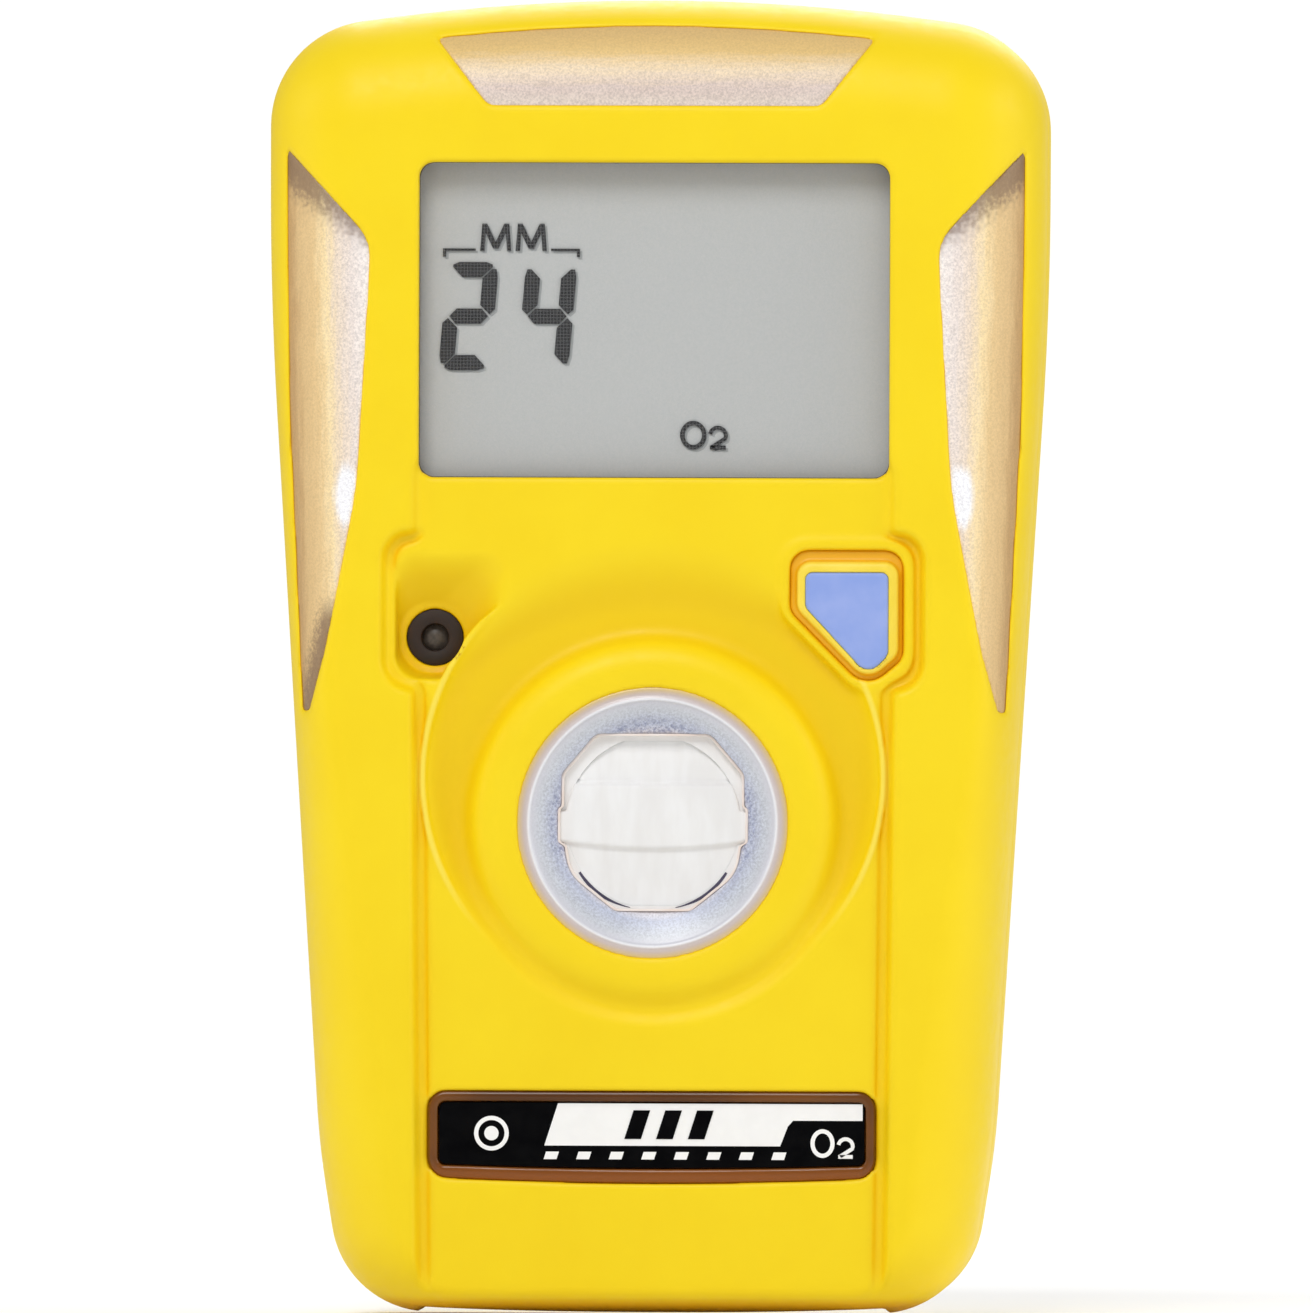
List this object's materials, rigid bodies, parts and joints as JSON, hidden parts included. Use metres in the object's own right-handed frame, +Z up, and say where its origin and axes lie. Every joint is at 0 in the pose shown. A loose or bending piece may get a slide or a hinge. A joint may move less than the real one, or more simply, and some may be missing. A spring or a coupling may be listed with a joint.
{
  "type": "portable gas detector",
  "caption": "Clip-on portable gas detector with a display, push button, sensor port, alarm windows and a sprung steel back clip.",
  "frame": {"origin": "bottom centre of the whole object's box, clip included", "axes": "+Z up, the display and sensor face -Y, the clip is at +Y, +X is to the viewer's right"},
  "size_m": [0.0514, 0.041, 0.087],
  "materials": {
    "bare_steel": "bright plated",
    "black_plastic": "fine texture",
    "blank_label": "matte",
    "blue_face": "printed",
    "board": "solder mask",
    "cell_jacket": "shrunk sleeve",
    "clear_ring": "clear moulded",
    "clear_window": "polished",
    "display_cell": "grey satin",
    "frosted_window": "frosted",
    "infrared_plastic": "smoky, polished",
    "label_film": "printed film",
    "lamp": "clear moulded",
    "light_guide": "white satin",
    "membrane": "fine porous film",
    "rubber": "matte",
    "sensor_case": "moulded",
    "yellow_shell": "satin moulded"
  },
  "bodies": {
    "housing": {"front_shell": "yellow_shell", "rear_shell": "yellow_shell", "shell_gasket": "rubber", "housing_screw_1": "bare_steel", "housing_screw_2": "bare_steel", "housing_screw_3": "bare_steel", "housing_screw_4": "bare_steel", "alarm_window_top": "frosted_window", "alarm_window_left": "frosted_window", "alarm_window_right": "frosted_window", "display_window": "clear_window", "display_cell": "display_cell", "display_backlight": "light_guide", "display_holder": "black_plastic", "contact_strip_lower": "rubber", "contact_strip_upper": "rubber", "circuit_board": "board", "microcontroller": "black_plastic", "alarm_lamp_1": "lamp", "alarm_lamp_2": "lamp", "alarm_lamp_3": "lamp", "alarm_lamp_4": "lamp", "infrared_emitter": "infrared_plastic", "infrared_receiver": "infrared_plastic", "infrared_window": "infrared_plastic", "label_plate": "label_film", "gas_sensor": "sensor_case", "sensor_gasket": "rubber", "sensor_filter": "membrane", "sensor_grille": "membrane", "sensor_cap": "clear_ring", "buzzer": "black_plastic", "buzzer_grommet": "rubber", "buzzer_membrane": "membrane", "switch_body": "black_plastic", "lithium_cell": "cell_jacket", "cell_tab_negative": "bare_steel", "cell_tab_positive": "bare_steel", "vibration_motor": "bare_steel", "clip_base": "bare_steel", "clip_pin": "bare_steel", "clip_spring": "bare_steel", "clip_screw_1": "bare_steel", "clip_screw_2": "bare_steel", "rear_label": "blank_label"},
    "button": {"button_pad": "yellow_shell", "button_face": "blue_face"},
    "plunger": {"switch_plunger": "sensor_case"},
    "lever": {"clip_lever": "bare_steel"},
    "rotor": {"motor_shaft": "bare_steel", "motor_weight": "bare_steel"}
  },
  "joints": [
    {"name": "button_slide", "type": "slide", "parent": "housing", "child": "button", "axis": [0, 1, 0], "range_m": [0, 0.0005], "stiffness_N_per_m": 1000, "springref_m": -0.0005},
    {"name": "switch_slide", "type": "slide", "parent": "housing", "child": "plunger", "axis": [0, 1, 0], "range_m": [0, 0.0005]},
    {"name": "clip_hinge", "type": "hinge", "parent": "housing", "child": "lever", "pos_m": [0, 0.013, 0.05], "axis": [1, 0, 0], "range_deg": [0, 25], "stiffness_Nm_per_rad": 0.1, "springref_deg": -34.38, "deforming": ["clip_spring"]},
    {"name": "motor_spin", "type": "hinge", "parent": "housing", "child": "rotor", "pos_m": [0.011, -0.0021, 0.066], "axis": [0, 0, 1], "continuous": true}
  ],
  "couplings": [
    {"joint": "switch_slide", "follows": "button_slide", "ratio": 1}
  ]
}
